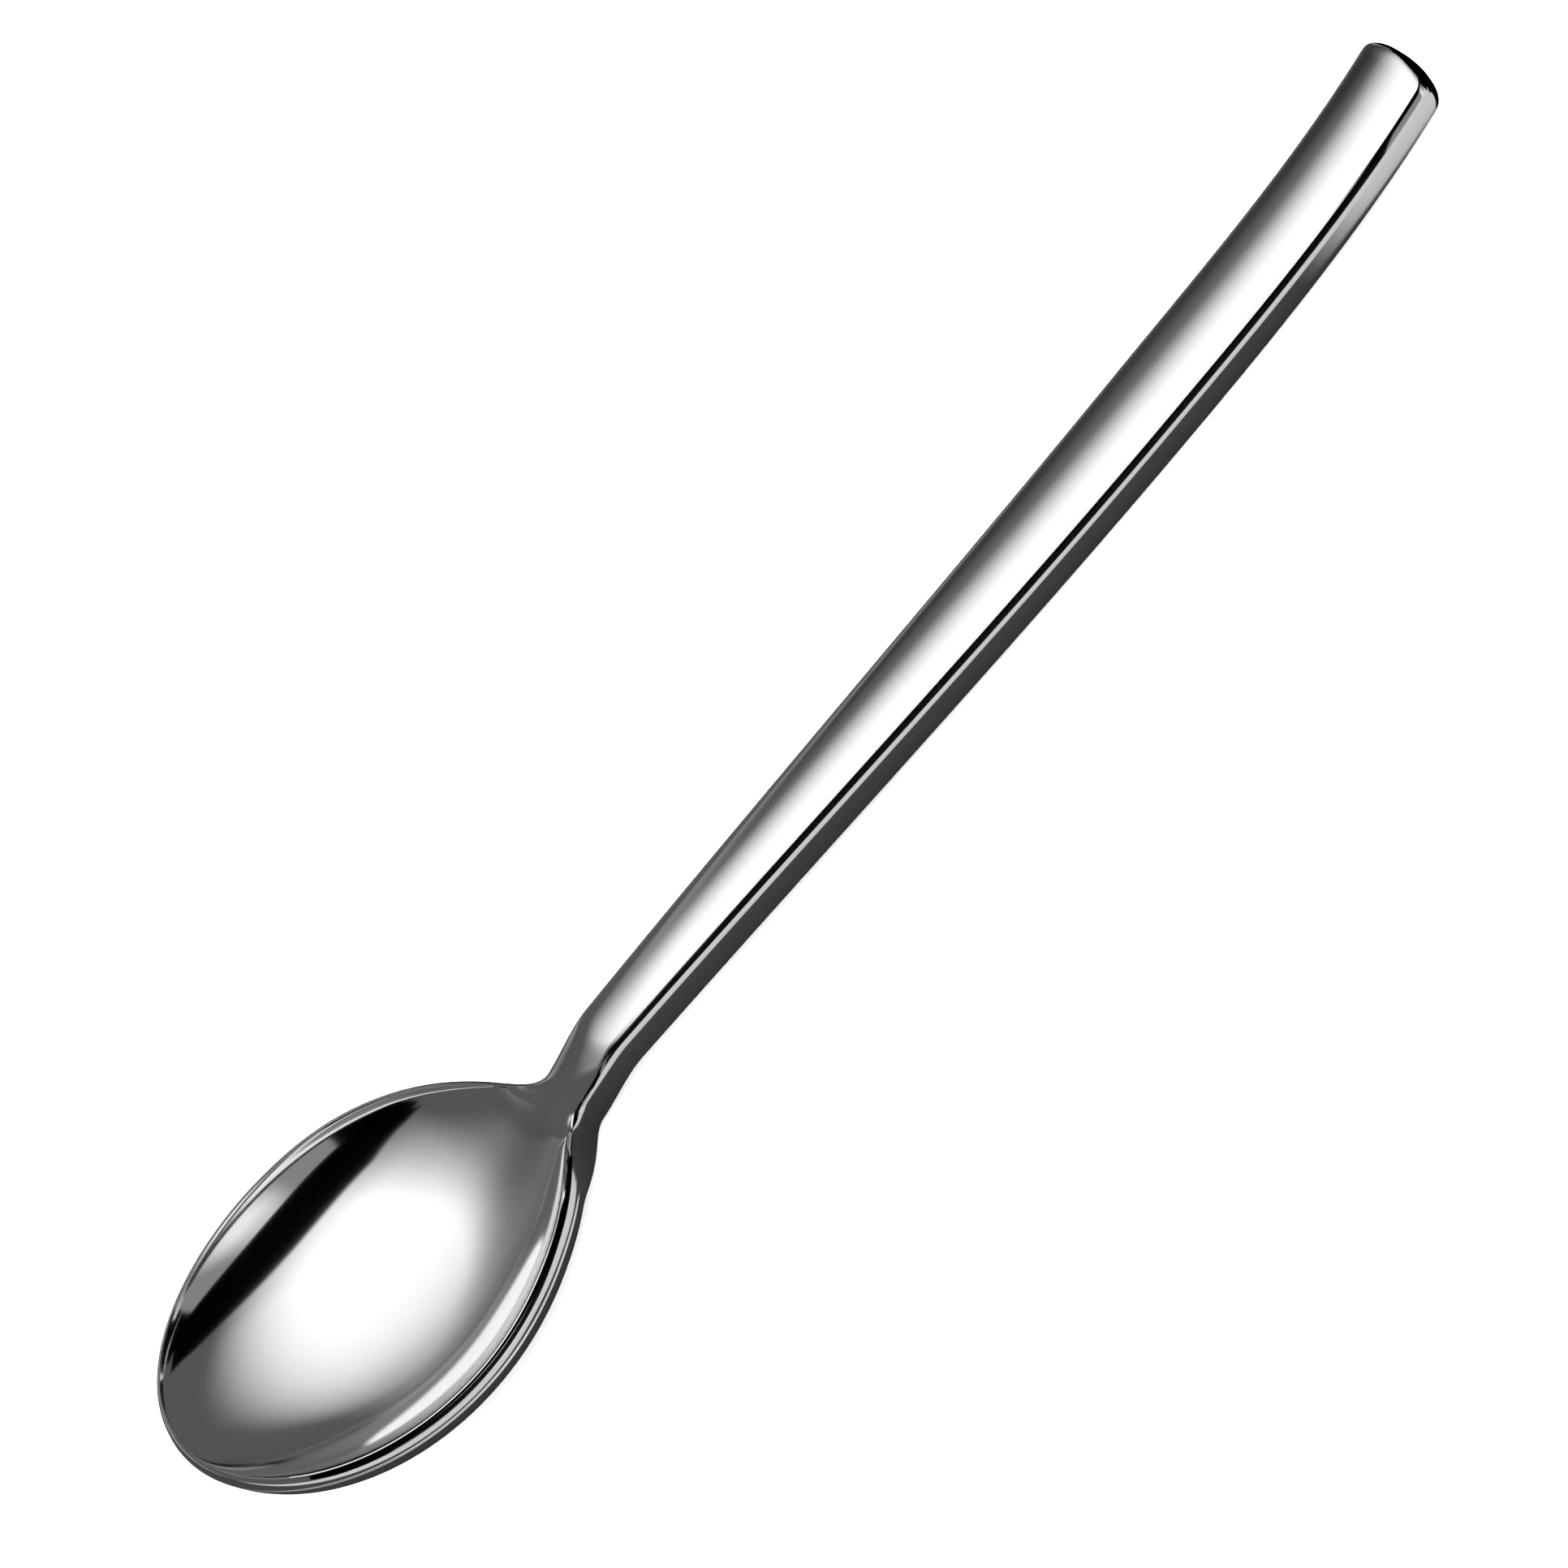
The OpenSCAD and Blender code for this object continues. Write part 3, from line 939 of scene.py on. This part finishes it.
def ribbon(name, path, away, up, material):
    """A strip along a path; its two sides lie at the given distances to the right and heights."""
    corners = []
    for i, place in enumerate(path):
        step = path[min(i + 1, len(path) - 1)] - path[max(i - 1, 0)]
        right = Vector((step.y, -step.x, 0.0)).normalized()
        corners += [place + right * far + Vector((0.0, 0.0, high)) for far, high in zip(away, up)]
    faces = [(i, i + 1, i + 3, i + 2) for i in range(0, len(corners) - 2, 2)]
    reflected_sheet(name, corners, material, faces)


def rim_ribbons(spoon):
    """Grey cover over the rim's far side and tip, and black flag in front of its near side."""
    near = near_outline(spoon)
    far = [Vector((p.x, -p.y, p.z)) for p in reversed(near) if p.x < RIM_COVER_FIRST]
    cover = far + [p for p in near if p.x < RIM_COVER_LAST]
    ribbon("rim_cover", cover, RIM_COVER_AWAY, RIM_COVER_UP, once_card("rim_grey", RIM_GREY))
    flag = [p for p in near if p.x > RIM_FLAG_FIRST]
    ribbon("rim_flag", flag, RIM_FLAG_AWAY, RIM_FLAG_UP, once_card("rim_black", 0.0))


# White table: half its extent and its colour
FLOOR_HALF = 6.0
FLOOR_WHITE = 0.9
# Its colour as the steel mirrors it: white in front of the spoon, a painted contact shadow close to it,
# and grey behind it
MIRRORED_WHITE = 0.258
MIRRORED_PAINTED_SHADOW = 0.025
MIRRORED_BEHIND = 0.10
BEHIND_Y = (0.020, 0.034)
# Where the painted contact shadow ends and the white front starts: at the bowl, along the handle and at
# its end
GAP_BOWL = 0.024
GAP_HANDLE = 0.0085
GAP_TURN = (-0.040, -0.027)
GAP_SOFT = 0.001
END_WHITE_X = (0.051, 0.061)
END_WHITE_Y = (-0.0042, -0.0052)
# What is mirrored beyond the handle's end is a black painted shadow
END_PAINTED_SHADOW_X = (0.0675, 0.069)


def floor():
    """White table, which the steel mirrors darker than the camera sees it, with a painted shadow around
    the spoon and beyond the handle's end.
    """
    material, tree, (x, y, _) = new_card_tree("table_white")
    painted_shadow_width = mix(GAP_BOWL, GAP_HANDLE, ease(x, *GAP_TURN))
    in_front = ease(y + painted_shadow_width, GAP_SOFT, -GAP_SOFT)
    at_end = ease(x, *END_WHITE_X) * ease(y, *END_WHITE_Y)
    # Painted contact shadow that the steel mirrors close to the spoon, lighter grey behind it
    painted_shadow = mix(MIRRORED_PAINTED_SHADOW, MIRRORED_BEHIND, ease(y, *BEHIND_Y))
    # Painted shadow that the steel mirrors beyond the handle's end
    beyond = ease(x, *END_PAINTED_SHADOW_X) * (1.0 - ease(y, *END_WHITE_Y))
    mirrored = mix(painted_shadow, MIRRORED_WHITE, larger(in_front, at_end)) * (1.0 - beyond)
    level = mix(FLOOR_WHITE, mirrored, ray(tree, "Is Glossy Ray"))
    end_card_tree(tree, add_node(tree, "ShaderNodeBsdfDiffuse", Color=level))
    extent = (-FLOOR_HALF, FLOOR_HALF)
    plain_sheet("table", [(i, j, 0.0) for i, j in rectangle(extent, extent)], material)


# Strength of the even light on the table
AMBIENT = 3.6
# The black in front, as shares of a direction's length: ends, start, bend at the left and blur
BLACK_ENDS = ((-0.76, -0.70), (0.977, 0.968))
BLACK_START = -0.385
BLACK_BEND = (-0.3, 0.5)
BLACK_BLUR = 0.012
# The lighter back in the same shares: ends, and where it rises
BACK_ENDS = ((-0.45, -0.2), (0.5, 0.2))
BACK_RISE = (0.75, 0.95)
# Painted reflection: the room's plain greys after two and after more bounces
ROOM_TWICE = 0.35
ROOM_THRICE = 0.6


def studio_world():
    """Grey room for reflections, black in front and lighter at the back; white for the camera. After
    more bounces on the steel it shows painted reflection greys.
    """
    world = bpy.data.worlds.new("studio")
    bpy.context.scene.world = world
    world.use_nodes = True
    tree = world.node_tree
    background = tree.nodes["Background"]
    background.inputs["Color"].default_value = (1.0, 1.0, 1.0, 1.0)
    x, y, _ = axes(tree, tree.nodes.new("ShaderNodeTexCoord").outputs["Generated"])
    back = ease(y, *BACK_RISE) * between(x, *BACK_ENDS)
    level = (1.0 - larger(x, 0.0) ** 2) * BLACK_START
    start = y - level + larger(BLACK_BEND[0] - x, 0.0) * BLACK_BEND[1]
    black = ease(start, BLACK_BLUR, -BLACK_BLUR) * between(x, *BLACK_ENDS)
    room = mix(STUDIO_GREY, BACK_GREY, back) * (1.0 - black)
    # Painted reflection greys after two and after more bounces on the steel
    mirrored = painted_bounce_level(tree, room, ROOM_TWICE, ROOM_THRICE)
    white = larger(ray(tree, "Is Camera Ray"), ray(tree, "Is Diffuse Ray") * AMBIENT)
    feed(tree, background.inputs["Strength"], larger(white, mirrored))


# Lamp overhead
LAMP_SIZE = 0.8
LAMP_POWER = 0.6
LAMP_PLACE = (0.0, 0.25, 0.9)


def top_lamp():
    """Soft lamp that lights the table and gives the spoon its shadow."""
    light = bpy.data.lights.new("top_lamp", "AREA")
    light.shape = "DISK"
    light.size = LAMP_SIZE
    light.energy = LAMP_POWER
    lamp = bpy.data.objects.new("top_lamp", light)
    lamp.location = LAMP_PLACE
    lamp.visible_glossy = False
    lamp.rotation_euler = Vector(LAMP_PLACE).to_track_quat("Z", "Y").to_euler()
    bpy.context.scene.collection.objects.link(lamp)


# Camera: height above the table, the handle's tilt, turn of the picture, aim, width of the view, lens
VIEW_ELEVATION = math.radians(55.5)
VIEW_TILT = math.radians(1.508)
VIEW_ROLL = math.radians(49.5)
VIEW_AIM = Vector((-2.18, 0.0, 7.3)) * MM
VIEW_WIDTH = 117.63 * MM
SENSOR = 36.0
LENS = 400.0


def photo_camera():
    """Long lens at the photo's angle: square to the handle, with the picture turned by the roll."""
    lengthwise = Vector((math.cos(VIEW_TILT), 0.0, -math.sin(VIEW_TILT)))
    upright = Vector((math.sin(VIEW_TILT), 0.0, math.cos(VIEW_TILT)))
    across = Vector((0.0, math.sin(VIEW_ELEVATION), 0.0)) + upright * math.cos(VIEW_ELEVATION)
    towards = lengthwise.cross(across)
    right = lengthwise * math.cos(VIEW_ROLL) - across * math.sin(VIEW_ROLL)
    up = lengthwise * math.sin(VIEW_ROLL) + across * math.cos(VIEW_ROLL)
    data = bpy.data.cameras.new("photo_camera")
    data.sensor_width = SENSOR
    data.lens = LENS
    camera = bpy.data.objects.new("photo_camera", data)
    turn = Matrix((right, up, towards)).transposed().to_4x4()
    camera.matrix_world = Matrix.Translation(VIEW_AIM + towards * (VIEW_WIDTH * LENS / SENSOR)) @ turn
    bpy.context.scene.collection.objects.link(camera)
    bpy.context.scene.camera = camera


photo_camera()
spoon = make_spoon(steel_finish())
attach(spoon, "root")
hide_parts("spoon")

floor()
softbox()
front_card()
handle_scrim()
neck_cover()
handle_flag()
end_card()
rim_ribbons(spoon)
studio_world()
top_lamp()
bpy.context.scene.view_settings.view_transform = "Standard"
